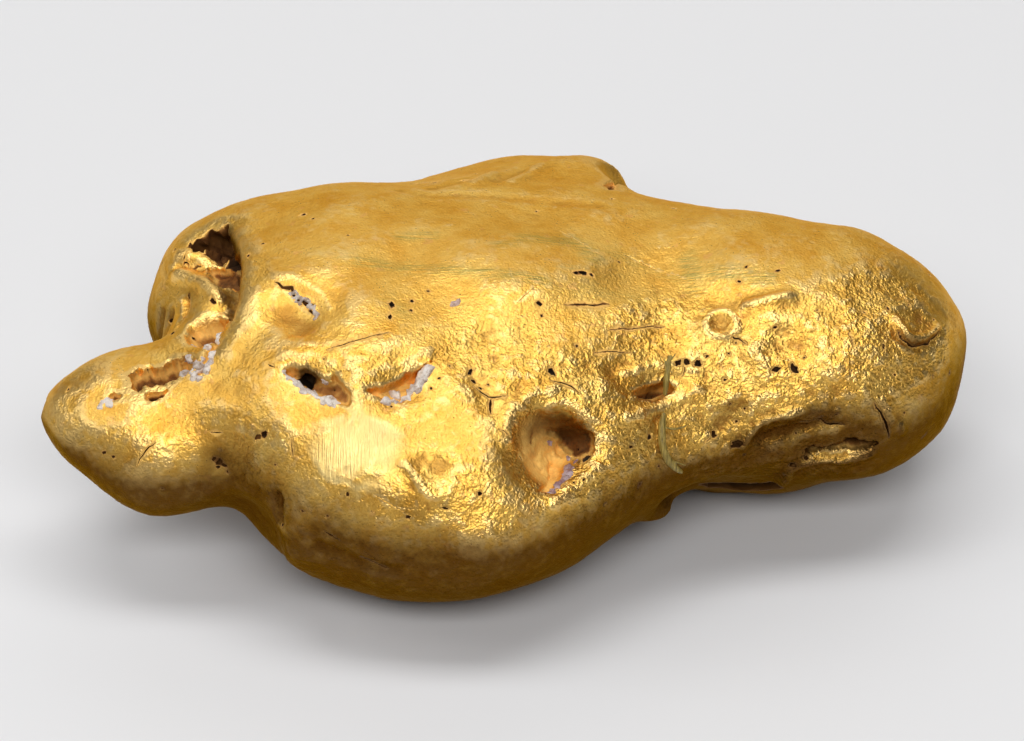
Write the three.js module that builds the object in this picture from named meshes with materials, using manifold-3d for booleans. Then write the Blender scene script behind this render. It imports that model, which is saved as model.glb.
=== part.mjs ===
// A river-worn gold nugget, about 32 mm long, with crumbs of quartz left in its pockets.
// Millimetres, +Z up. X runs along the nugget, from the finger at -X to the nose at +X.
// Y runs from the belly in front, at -Y, to the fin behind. It rests on the worn flats at Z = 0.
import * as THREE from "three";
import { mergeVertices } from "three/addons/utils/BufferGeometryUtils.js";
import Module from "manifold-3d";

const wasm = await Module();
wasm.setup();

// ---- Driving dimensions --------------------------------------------------------------------
const CELL = 0.78; // spacing of the grid that the gold's surface is found on
const MELT = 1.5; // how widely neighbouring lobes run into each other
const DENT_MELT = 0.6; // how softly a dent's rim is rounded over
const SWELL = 0.14; // height of the slow waves that running water left on the gold
const WALL_GAP = 0.1; // clearance between a crumb of quartz and the wall of its pocket

const DEG = Math.PI / 180;

// Every list below gives at: centre, radii: half sizes, turn: degrees about X, Y and Z.

// The gold's form: lobes that run together, each over its own melt width.
const LOBES = [
  { name: "body", at: [1.0, 1.6, 5.3], radii: [11.5, 7.2, 4.4], turn: [0, 3, -3] },
  { name: "nose", at: [9.7, 0.9, 5.4], radii: [6.2, 4.9, 4.1], turn: [0, 5, -8], power: 2.2 },
  { name: "shoulder", at: [-6.2, -0.1, 6.1], radii: [4.2, 6.8, 4.1], turn: [0, 0, 0], power: 2.3 },
  { name: "belly", at: [-2.4, -4.8, 4.5], radii: [5.3, 4.6, 3.6], turn: [0, 0, -6], melt: 3, power: 2.3 },
  { name: "slope", at: [-1.8, -2.5, 5.5], radii: [6.8, 5.6, 3.5], turn: [30, 0, 0], melt: 2, power: 2.4 },
  { name: "finger", at: [-11.0, -3.1, 5.7], radii: [4.6, 2.8, 2.2], turn: [0, 0, 2], melt: 2 },
  { name: "knuckle", at: [-11.1, -4.3, 4.7], radii: [2.6, 2.1, 1.8], turn: [0, 0, 0], melt: 0.8 },
  { name: "ear", at: [-8.9, 3.0, 5.8], radii: [3.3, 3.3, 3.2], turn: [0, 0, 0] },
  { name: "fin", at: [-0.1, 8.5, 5.7], radii: [4.6, 2.1, 1.6], turn: [0, -18, -6], melt: 1.8 },
  { name: "nub", at: [-6.2, -6.6, 3.8], radii: [1.3, 1.7, 1.2], turn: [0, 0, 0], melt: 0.6 },
  { name: "knob", at: [5.0, -3.9, 2.8], radii: [1.2, 0.9, 0.9], turn: [0, 0, 0], melt: 0.6 },
  { name: "front sole", at: [-2.6, -3.6, 3.0], radii: [3.4, 2.6, 3.3], turn: [0, 0, -6], melt: 2 },
  { name: "rear sole", at: [-4.0, 4.2, 3.0], radii: [3.6, 3.0, 3.3], turn: [0, 0, 20], melt: 2 },
  { name: "side sole", at: [8.0, 1.0, 3.2], radii: [3.4, 2.6, 3.5], turn: [0, 0, -15], melt: 2 },
];

// Soft hollows pressed or worn into the gold.
const DENTS = [
  { name: "brow dent", at: [-6.9, -2.9, 10.5], radii: [1.5, 1.2, 0.85], turn: [10, 0, 0] },
  { name: "big hollow", at: [1.8, -7.5, 7.9], radii: [1.7, 1.7, 1.6], turn: [0, 0, 0] },
  { name: "oval dent", at: [5.7, -4.9, 8.6], radii: [1.9, 0.9, 1.2], turn: [0, 10, 10] },
  { name: "hook hollow", at: [5.2, 7.4, 7.2], radii: [1.7, 1.1, 0.9], turn: [0, 0, 0] },
  { name: "under groove", at: [7.6, -4.2, 3.0], radii: [2.6, 0.9, 0.6], turn: [0, 0, 0] },
  { name: "finger fold", at: [-8.9, -7.2, 3.6], radii: [1.4, 1.5, 1.1], turn: [0, 0, 0] },
];

function placement({ at, turn }) {
  const euler = new THREE.Euler(...turn.map((t) => t * DEG));
  return new THREE.Matrix4().makeRotationFromEuler(euler).setPosition(...at);
}

// An ellipsoid, or a boxier rounded form where power is above 2.
function lobeDistance({ radii, power = 2, ...place }) {
  const toLobe = placement(place).invert();
  const p = new THREE.Vector3();
  return (x, y, z) => {
    const share = p.set(x, y, z).applyMatrix4(toLobe).toArray().map((c, n) => Math.abs(c) / radii[n]);
    const near = share.reduce((sum, c) => sum + c ** power, 0) ** (1 / power) + 1e-9;
    const steep = Math.hypot(...share.map((c, n) => (c / near) ** (power - 1) / radii[n]));
    return (near - 1) / Math.max(steep, 0.05);
  };
}

function meltTogether(a, b, width) {
  const h = Math.max(width - Math.abs(a - b), 0) / width;
  return Math.min(a, b) - (h * h * width) / 4;
}

function swell(x, y, z) {
  const long = Math.sin(0.7 * x + 1.1) * Math.sin(0.8 * y + 0.5 * z + 0.4) * Math.cos(0.6 * z);
  const short = Math.sin(1.5 * x - 0.9 * y + 0.6 * z) * Math.sin(1.3 * y + 1.2 * z + 2.0);
  return SWELL * (long + 0.5 * short);
}

const lobes = LOBES.map((lobe) => ({ ...lobe, distance: lobeDistance(lobe) }));
const dents = DENTS.map((dent) => ({ ...dent, distance: lobeDistance(dent) }));

// Below zero inside the gold, zero on its surface.
function goldDistance(x, y, z) {
  let d = lobes[0].distance(x, y, z);
  for (const { distance, melt = MELT } of lobes.slice(1)) d = meltTogether(d, distance(x, y, z), melt);
  for (const { distance } of dents) d = -meltTogether(-d, distance(x, y, z), DENT_MELT);
  return d + swell(x, y, z);
}

// ---- From a distance to a closed mesh ------------------------------------------------------
function boundsOf(list, margin) {
  const box = new THREE.Box3();
  for (const { at, radii } of list) {
    const reach = Math.max(...radii);
    box.expandByPoint(new THREE.Vector3(...at).addScalar(reach));
    box.expandByPoint(new THREE.Vector3(...at).addScalar(-reach));
  }
  return box.expandByScalar(margin);
}

// One point in each grid cell that the surface crosses, and one quad over each crossed grid edge.
function surfaceMesh(distance, box, cell) {
  const size = box.getSize(new THREE.Vector3());
  const [nx, ny, nz] = size.toArray().map((s) => Math.ceil(s / cell) + 1);
  const at = (i, j, k) => (k * ny + j) * nx + i;
  const place = (i, j, k) => [box.min.x + i * cell, box.min.y + j * cell, box.min.z + k * cell];
  const value = new Float64Array(nx * ny * nz);
  for (let k = 0; k < nz; k++)
    for (let j = 0; j < ny; j++)
      for (let i = 0; i < nx; i++) value[at(i, j, k)] = distance(...place(i, j, k));

  const corners = [0, 1, 2, 3, 4, 5, 6, 7].map((c) => [c & 1, (c >> 1) & 1, (c >> 2) & 1]);
  const pointOf = new Map();
  const points = [];
  for (let k = 0; k < nz - 1; k++)
    for (let j = 0; j < ny - 1; j++)
      for (let i = 0; i < nx - 1; i++) {
        const v = corners.map(([a, b, c]) => value[at(i + a, j + b, k + c)]);
        if (v.every((d) => d < 0) || v.every((d) => d >= 0)) continue;
        const sum = new THREE.Vector3();
        let crossings = 0;
        corners.forEach((from, a) =>
          corners.forEach((to, b) => {
            const steps = from.reduce((s, f, n) => s + Math.abs(f - to[n]), 0);
            if (b <= a || steps !== 1 || v[a] < 0 === v[b] < 0) return;
            const t = v[a] / (v[a] - v[b]);
            const cross = from.map((f, n) => f + t * (to[n] - f));
            sum.add(new THREE.Vector3(...place(i + cross[0], j + cross[1], k + cross[2])));
            crossings++;
          }),
        );
        pointOf.set(at(i, j, k), points.length);
        points.push(sum.divideScalar(crossings));
      }

  const faces = [];
  const quad = (a, b, c, d, flip) => {
    const [p, q, r, s] = [a, b, c, d].map((n) => pointOf.get(n));
    const shortFirst = points[p].distanceTo(points[r]) < points[q].distanceTo(points[s]);
    const halves = shortFirst ? [[p, q, r], [p, r, s]] : [[p, q, s], [q, r, s]];
    for (const half of halves) faces.push(...(flip ? half : half.toReversed()));
  };
  for (let k = 1; k < nz - 1; k++)
    for (let j = 1; j < ny - 1; j++)
      for (let i = 1; i < nx - 1; i++) {
        const here = value[at(i, j, k)] < 0;
        if (here !== value[at(i + 1, j, k)] < 0)
          quad(at(i, j, k), at(i, j - 1, k), at(i, j - 1, k - 1), at(i, j, k - 1), here);
        if (here !== value[at(i, j + 1, k)] < 0)
          quad(at(i, j, k), at(i, j, k - 1), at(i - 1, j, k - 1), at(i - 1, j, k), here);
        if (here !== value[at(i, j, k + 1)] < 0)
          quad(at(i, j, k), at(i - 1, j, k), at(i - 1, j - 1, k), at(i, j - 1, k), here);
      }
  return { points, faces };
}

// Moves each point along the slope of the distance until it lies on the surface.
function settle(points, distance, rounds = 4) {
  const e = 0.01;
  for (const p of points)
    for (let n = 0; n < rounds; n++) {
      const d = distance(p.x, p.y, p.z);
      const slope = new THREE.Vector3(
        distance(p.x + e, p.y, p.z) - distance(p.x - e, p.y, p.z),
        distance(p.x, p.y + e, p.z) - distance(p.x, p.y - e, p.z),
        distance(p.x, p.y, p.z + e) - distance(p.x, p.y, p.z - e),
      ).divideScalar(2 * e);
      p.addScaledVector(slope, -d / Math.max(slope.lengthSq(), 0.1));
    }
}

function goldGeometry() {
  const { points, faces } = surfaceMesh(goldDistance, boundsOf(LOBES, 2 * CELL), CELL);
  settle(points, goldDistance);
  const geometry = new THREE.BufferGeometry().setFromPoints(points);
  geometry.setIndex(faces);
  return geometry;
}

// ---- Joining and cutting -------------------------------------------------------------------
function toSolid(geometry) {
  const bare = geometry.clone();
  for (const name of ["normal", "uv"]) bare.deleteAttribute(name);
  const merged = mergeVertices(bare, 1e-5);
  const mesh = new wasm.Mesh({
    numProp: 3,
    vertProperties: new Float32Array(merged.attributes.position.array),
    triVerts: new Uint32Array(merged.index.array),
  });
  return new wasm.Manifold(mesh);
}

function toGeometry(solid) {
  const mesh = solid.getMesh();
  const geometry = new THREE.BufferGeometry();
  geometry.setAttribute("position", new THREE.BufferAttribute(mesh.vertProperties, 3));
  geometry.setIndex(new THREE.BufferAttribute(mesh.triVerts, 1));
  geometry.computeVertexNormals();
  return geometry;
}

// A chip is a small angular stone: a ball of twenty flat facets, squashed to its radii.
function chip(shape, grow = 0) {
  const stone = new THREE.IcosahedronGeometry(1, 0);
  stone.scale(...shape.radii.map((r) => r + grow));
  return toSolid(stone.applyMatrix4(placement(shape)));
}

// ---- Pockets where quartz or mud has come out of the gold -----------------------------------
// quartz: name of the crumb still left in the pocket. fill: how much of its depth the crumb fills.
const POCKETS = [
  { name: "cleft hole", at: [-9.75, 1.75, 8.8], radii: [0.9, 1.1, 1.3], turn: [0, -25, 10] },
  { name: "cleft channel", at: [-9.35, -0.6, 8.75], radii: [0.7, 1.9, 1.3], turn: [0, -30, -18] },
  {
    name: "cleft cavity", at: [-10.1, -2.4, 8.3], radii: [0.8, 0.6, 0.7], turn: [10, -25, 30],
    quartz: "quartz_cleft", fill: 0.75,
  },
  { name: "finger trench", at: [-11.7, -3.05, 8.0], radii: [1.3, 0.55, 0.8], turn: [0, -5, 16] },
  { name: "finger pit", at: [-11.3, -4.15, 7.85], radii: [0.5, 0.35, 0.4], turn: [20, 0, 15] },
  {
    name: "tip pit", at: [-13.1, -4.4, 7.4], radii: [0.6, 0.35, 0.4], turn: [20, -15, 20],
    quartz: "quartz_finger", fill: 0.7,
  },
  {
    name: "brow pit", at: [-6.7, -2.1, 9.9], radii: [0.6, 0.45, 0.35], turn: [10, 0, -20],
    quartz: "quartz_brow", fill: 0.75,
  },
  {
    name: "split pocket", at: [-6.3, -5.6, 8.9], radii: [1.1, 0.6, 0.7], turn: [32, 0, -22],
    quartz: "quartz_split", fill: 0.65,
  },
  {
    name: "wedge pocket", at: [-3.4, -5.5, 8.9], radii: [1.1, 0.5, 0.7], turn: [30, 0, 24],
    quartz: "quartz_wedge", fill: 0.65,
  },
  {
    name: "deep hollow", at: [1.9, -6.4, 6.9], radii: [1.0, 1.1, 1.1], turn: [40, 10, 20],
    quartz: "quartz_hollow", fill: 0.5,
  },
  { name: "oval pit", at: [5.1, -4.1, 7.75], radii: [1.1, 0.65, 0.8], turn: [35, 10, 15] },
  { name: "ledge", at: [10.9, -4.3, 4.9], radii: [1.8, 0.9, 0.5], turn: [0, 5, 5] },
  { name: "under slit", at: [8.1, -3.3, 2.6], radii: [1.6, 0.7, 0.4], turn: [0, 0, 0] },
  { name: "hook pit", at: [4.0, 7.9, 7.3], radii: [0.7, 0.6, 0.7], turn: [0, 20, 0] },
  { name: "ear pit", at: [-10.9, 0.6, 7.7], radii: [0.3, 0.4, 0.35], turn: [0, -40, 0] },
  {
    name: "pin hole", at: [-1.4, -2.3, 9.9], radii: [0.32, 0.32, 0.4], turn: [10, 0, 0],
    quartz: "quartz_dot", fill: 0.8,
  },
];

// The crumb that fits the floor of a pocket, clear of its wall.
function crumb(pocket) {
  const inward = new THREE.Vector3(0, 0, -1).transformDirection(placement(pocket));
  const lower = new THREE.Vector3(...pocket.at)
    .addScaledVector(inward, 2 * pocket.radii[2] * (1 - pocket.fill))
    .toArray();
  return chip(pocket, -WALL_GAP).intersect(chip({ ...pocket, at: lower }, -WALL_GAP));
}

// ---- The model ------------------------------------------------------------------------------
const gold = new THREE.MeshStandardMaterial({ color: 0xd9a441, roughness: 0.4, metalness: 1 });
const quartz = new THREE.MeshStandardMaterial({ color: 0xd8cfc4, roughness: 0.35, metalness: 0 });
const ground = toSolid(new THREE.BoxGeometry(60, 60, 20).translate(0, 0, -10));

let body = toSolid(goldGeometry()).subtract(ground);
for (const pocket of POCKETS) body = body.subtract(chip(pocket));

const nugget = new THREE.Group();
function addPiece(name, solid, material) {
  const piece = new THREE.Mesh(toGeometry(solid), material);
  piece.name = name;
  nugget.add(piece);
}

addPiece("nugget", body, gold);
for (const pocket of POCKETS.filter((p) => p.quartz)) addPiece(pocket.quartz, crumb(pocket), quartz);

// The origin is under the middle of the nugget's box, on the ground.
const middle = new THREE.Box3().setFromObject(nugget).getCenter(new THREE.Vector3());
nugget.position.set(-middle.x, -middle.y, 0);

export default nugget;
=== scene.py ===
"""A water-worn gold nugget with crumbs of quartz in its pockets and two plant fibres on it.

The gold, the quartz and the fibres are worked up at a thousand times their size, one unit to the
millimetre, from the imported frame, and brought back to metres when they are finished.
"""
import math

import bpy
import numpy as np
from mathutils import Matrix, Vector, noise
from mathutils.bvhtree import BVHTree


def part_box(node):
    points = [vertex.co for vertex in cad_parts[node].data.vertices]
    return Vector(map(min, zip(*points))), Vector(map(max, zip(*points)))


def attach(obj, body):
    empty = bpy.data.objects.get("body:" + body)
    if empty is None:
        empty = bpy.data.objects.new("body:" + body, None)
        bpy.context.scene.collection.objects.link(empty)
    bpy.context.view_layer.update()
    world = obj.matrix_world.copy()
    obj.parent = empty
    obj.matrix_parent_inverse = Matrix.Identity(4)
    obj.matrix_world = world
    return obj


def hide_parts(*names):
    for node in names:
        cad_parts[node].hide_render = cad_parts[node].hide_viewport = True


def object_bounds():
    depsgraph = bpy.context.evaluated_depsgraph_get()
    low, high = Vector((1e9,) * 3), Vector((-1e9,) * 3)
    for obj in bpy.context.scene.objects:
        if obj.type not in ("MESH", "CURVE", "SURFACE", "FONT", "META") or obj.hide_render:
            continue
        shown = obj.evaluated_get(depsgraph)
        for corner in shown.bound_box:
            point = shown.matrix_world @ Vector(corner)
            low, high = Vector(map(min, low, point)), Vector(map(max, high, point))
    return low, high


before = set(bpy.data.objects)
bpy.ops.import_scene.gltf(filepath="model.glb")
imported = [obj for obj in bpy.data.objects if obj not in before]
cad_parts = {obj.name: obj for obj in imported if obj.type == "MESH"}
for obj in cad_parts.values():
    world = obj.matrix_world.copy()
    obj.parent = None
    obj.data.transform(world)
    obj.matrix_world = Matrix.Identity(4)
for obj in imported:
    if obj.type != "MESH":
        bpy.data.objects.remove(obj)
cad_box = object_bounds()

MM = 0.001
WORK = 1000.0  # working scale: one unit is one millimetre
rng = np.random.default_rng(7)

# The gold's skin
FORM_VOXEL = 0.16  # mm, spacing of the first fine mesh
FORM_WEAR = 10  # rounds of smoothing over the frame's facets
GOLD_TRIANGLES = 150_000  # before the holes and cracks are cut
RIM_WEAR = 4  # rounds of smoothing on the lips of the holes
NEAR = (4, 0.06)  # rounds of smoothing, and the depth (mm), that tell a nook from the skin
WIDE = (40, 0.5)  # the same for a hollow
FACING_ROUNDS = 30  # rounds over which the way the skin faces is taken
PAINTED_UNDERSIDE_SHADE = (0.58, -0.05)  # painted shade under the nugget: how far up the skin faces where it starts, and ends, to darken
SLIDE = 0.7  # how far a point slides to the middle of its neighbours in one round

# Textures pressed into the skin: size and strength (mm), middle level, group, settings
BROAD_MARKS = {
    "swell": (2.4, 0.16, 0.55, "worn", {"depth": 1}),
    "hammered": (0.9, 0.1, 0.6, "rough", {"kind": "VORONOI"}),
    "folds": (0.75, 0.19, 0.55, "rough", {"depth": 3}),
}
FINE_MARKS = {
    "crumples": (0.3, 0.085, 0.55, "rough", {"depth": 3}),
    "satin": (0.22, 0.025, 0.5, "", {"depth": 2}),
}

# Camera: how the nugget is looked at
VIEW_ELEVATION = math.radians(38.0)
VIEW_DISTANCE = 210.0  # mm
VIEW_LENS = 212.6  # mm, on a 36 mm sensor
VIEW_TARGET = (0.21, 1.91, 3.19)  # mm

# Softboxes, all aimed at the nugget: place, size (m), power (W)
SOFTBOXES = {
    "overhead_softbox": ((0.0, 0.04, 0.45), (0.40, 0.13), 0.88),
    "front_softbox": ((0.0, -0.305, 0.335), (0.36, 0.15), 1.08),
    "rear_softbox": ((0.0, 0.39, 0.25), (0.5, 0.40), 0.46),
    "left_softbox": ((-0.34, 0.0, 0.29), (0.2, 0.2), 0.32),
}
SOFTBOX_AIM = (0, 0, 4 * MM)

# Where the frame's blunt pockets are filled and its pointed end is rounded: place, reach (mm)
MENDS = [
    ((-9.9, 1.2, 8.8), 1.7), ((-9.5, -1.2, 8.9), 1.9), ((-9.7, 0.2, 8.9), 1.7),
    ((-10.2, -3.0, 8.3), 1.2), ((-11.8, -3.7, 8.0), 1.6), ((-11.4, -4.8, 7.8), 0.9),
    ((-13.3, -5.0, 7.3), 0.95), ((-6.84, -2.7, 9.9), 0.9), ((-6.45, -6.2, 8.8), 1.5),
    ((-3.5, -6.1, 8.8), 1.45), ((1.8, -7.0, 6.6), 1.6), ((5.0, -4.7, 7.5), 1.45),
    ((10.8, -4.6, 4.9), 2.0), ((8.0, -3.9, 2.6), 1.8), ((3.9, 7.3, 7.3), 0.95),
    ((-11.0, 0.0, 7.7), 0.7), ((-1.5, -2.9, 9.9), 0.6), ((-15.65, -3.4, 5.5), 0.7),
]
MEND_EDGE = 0.35  # mm, over which a mend fades out
MEND_ROUNDS = 220  # of smoothing

# Ridges and dents pressed into the skin: height (mm, dents below 0), reach (mm), path
RELIEF = {
    "ear tongue": (0.3, 0.45, [(-11.1, 1.1, 7.95), (-10.7, 0.6, 8.15), (-10.2, 0.1, 8.3),
                              (-9.75, -0.7, 8.3)]),
    "ear flute a": (-0.28, 0.24, [(-11.84, 0.6, 6.8), (-11.84, 0.3, 5.9)]),
    "ear flute b": (-0.28, 0.24, [(-11.5, 0.1, 7.2), (-11.55, -0.2, 6.3)]),
    "ear flute c": (-0.24, 0.24, [(-11.18, -0.8, 7.6), (-11.2, -1.3, 7.2)]),
    "ear groove": (-0.22, 0.3, [(-11.2, 1.35, 8.1), (-10.8, 1.35, 8.25), (-10.4, 1.1, 8.3)]),
    "ear pit": (-0.28, 0.24, [(-10.91, -0.05, 7.76), (-10.92, -0.59, 7.66)]),
    "ear knob": (0.16, 0.4, [(-11.1, 1.9, 8.2), (-10.9, 1.8, 8.3)]),
    "shoulder edge": (0.16, 0.8, [(-9.05, 1.5, 9.25), (-8.75, 0.4, 9.55), (-8.65, -0.9, 9.6),
                                   (-8.65, -2.4, 9.6), (-8.7, -3.4, 9.35), (-9.3, -4.2, 8.8)]),
    "brow ledge": (0.08, 0.3, [(-7.75, -1.85, 10.2), (-7.2, -1.95, 10.2), (-6.6, -2.3, 10.1),
                               (-6.1, -2.7, 10.0), (-5.9, -3.3, 9.9)]),
    "brow bowl": (-0.17, 0.85, [(-7.3, -3.3, 9.7), (-6.9, -3.9, 9.65)]),
    "split brow": (0.08, 0.3, [(-7.4, -5.1, 9.25), (-6.5, -5.2, 9.35), (-5.7, -5.5, 9.3)]),
    "wedge brow": (0.07, 0.3, [(-4.4, -5.8, 9.1), (-3.3, -5.3, 9.25), (-2.5, -4.95, 9.4)]),
    "wedge foot": (-0.08, 0.4, [(-3.9, -6.8, 8.6), (-3.0, -6.4, 8.7)]),
    "hollow rim": (0.12, 0.4, [(0.0, -7.5, 7.6), (0.15, -6.7, 8.1), (0.8, -6.0, 8.35),
                               (1.6, -5.75, 8.35)]),
    "hollow foot": (0.2, 0.4, [(3.0, -7.2, 6.2), (2.3, -7.8, 5.85), (1.6, -8.6, 5.85)]),
    "oval slab": (0.16, 0.38, [(4.1, -5.75, 7.2), (5.2, -5.1, 7.1), (6.4, -4.45, 7.3)]),
    "oval brow": (0.1, 0.35, [(3.9, -4.5, 8.05), (4.8, -4.0, 8.0), (5.6, -3.9, 8.0)]),
    "crest": (0.22, 0.28, [(8.07, -2.12, 9.1), (8.81, -1.99, 9.25), (9.52, -1.83, 9.3)]),
    "crater": (-0.09, 0.34, [(7.2, -2.65, 8.74), (7.3, -2.65, 8.74)]),
    "nose dent": (-0.2, 0.85, [(9.3, -3.1, 8.45), (10.0, -3.3, 8.3)]),
    "nose shoulder": (0.12, 0.5, [(8.3, -3.4, 8.3), (8.7, -3.9, 7.7)]),
    "wavy ridge": (0.24, 0.28, [(7.94, -4.99, 5.45), (8.2, -4.9, 5.8), (8.53, -4.77, 6.22),
                                (9.03, -4.68, 6.36), (9.84, -4.53, 6.5)]),
    "wavy hollow": (-0.25, 0.5, [(8.7, -4.9, 5.5), (9.6, -4.75, 5.7), (10.6, -4.6, 5.9)]),
    "wavy lee": (-0.18, 0.5, [(7.2, -4.95, 6.2), (7.9, -4.75, 6.8)]),
    "flake rim": (0.3, 0.2, [(13.12, -1.92, 8.34), (13.45, -2.31, 7.96), (13.8, -2.24, 7.74),
                              (14.16, -1.98, 7.62), (14.6, -1.25, 7.57)]),
    "flake under": (-0.12, 0.18, [(13.15, -2.3, 8.1), (13.5, -2.5, 7.8), (13.9, -2.4, 7.5),
                                  (14.35, -2.0, 7.4), (14.75, -1.3, 7.4)]),
    "flake hollow": (-0.1, 0.5, [(13.5, -1.7, 8.3), (14.1, -1.4, 8.1)]),
    "nose block": (0.2, 0.28, [(13.25, -3.97, 5.4), (13.35, -3.95, 5.15)]),
    "crack shore": (0.1, 0.2, [(12.65, -4.0, 6.6), (12.85, -4.05, 6.1), (13.0, -4.1, 5.7)]),
    "lip": (0.26, 0.28, [(9.43, -3.81, 2.89), (9.65, -4.34, 3.93), (10.25, -4.39, 4.2),
                         (10.75, -4.38, 4.3), (11.43, -4.32, 4.25), (12.34, -4.22, 4.4)]),
    "belly dent": (-0.13, 0.6, [(-2.6, -8.45, 7.5), (-2.2, -8.6, 7.4)]),
    "belly ridge": (0.14, 0.3, [(-3.31, -8.55, 7.45), (-2.88, -8.96, 7.11), (-2.49, -9.36, 6.67)]),
    "nub edge": (-0.3, 0.26, [(-7.55, -8.1, 5.7), (-7.6, -8.15, 5.2), (-7.55, -8.2, 4.8)]),
    "fin crease": (-0.06, 0.45, [(-3.6, 4.2, 9.25), (-2.7, 3.75, 9.45), (-0.68, 3.8, 9.36),
                               (1.38, 3.6, 9.3), (3.2, 3.3, 9.3)]),
    "fin ridge a": (0.1, 0.3, [(-1.14, 4.88, 9.08), (-0.42, 6.29, 8.48)]),
    "fin ridge b": (0.1, 0.3, [(0.11, 5.29, 8.86), (1.22, 7.28, 8.1)]),
    "fin facet a": (-0.1, 0.6, [(-2.5, 4.6, 9.1), (-1.6, 5.3, 8.9)]),
    "fin facet b": (-0.1, 0.55, [(-0.3, 5.4, 8.9), (0.5, 6.6, 8.4)]),
    "slope dent a": (-0.12, 0.7, [(-0.9, -5.9, 8.8), (-0.5, -6.6, 8.4)]),
    "slope dent b": (-0.12, 0.6, [(3.6, -4.6, 8.3), (4.0, -4.3, 8.3)]),
    "slope dent c": (-0.1, 0.8, [(-6.6, -6.9, 8.1), (-5.6, -7.0, 8.4)]),
    "finger neck": (-0.1, 0.7, [(-9.6, -5.2, 8.1), (-9.0, -5.6, 8.2)]),
    "front crease": (-0.12, 0.4, [(-6.2, -9.2, 4.4), (-4.9, -9.6, 4.0), (-3.6, -9.75, 3.9)]),
}
CRATER = ((7.23, -2.65, 8.74), 0.5, 0.14, 0.2)  # ring of raised metal: centre, radius, height, reach

# The brushed facet: its corners on the skin, and how far towards flat it is worn
POLISHED = [(-6.5, -8.0, 7.4), (-5.8, -7.6, 8.1), (-4.8, -7.5, 8.3), (-3.8, -7.6, 8.2),
            (-3.9, -8.7, 7.3), (-5.1, -8.8, 6.9)]
POLISH_FLAT = 0.4

# What the walls of a cut are like: 0 is the skin's own gold, 1 is black; the middle linings are
# stains and soil, the darkest, dark and black, painted shade in holes, pits and cracks
LININGS = {"clean": 0.0, "ochre": 0.3, "rust": 0.46, "brown": 0.58, "dark": 0.8, "black": 1.0}

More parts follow.
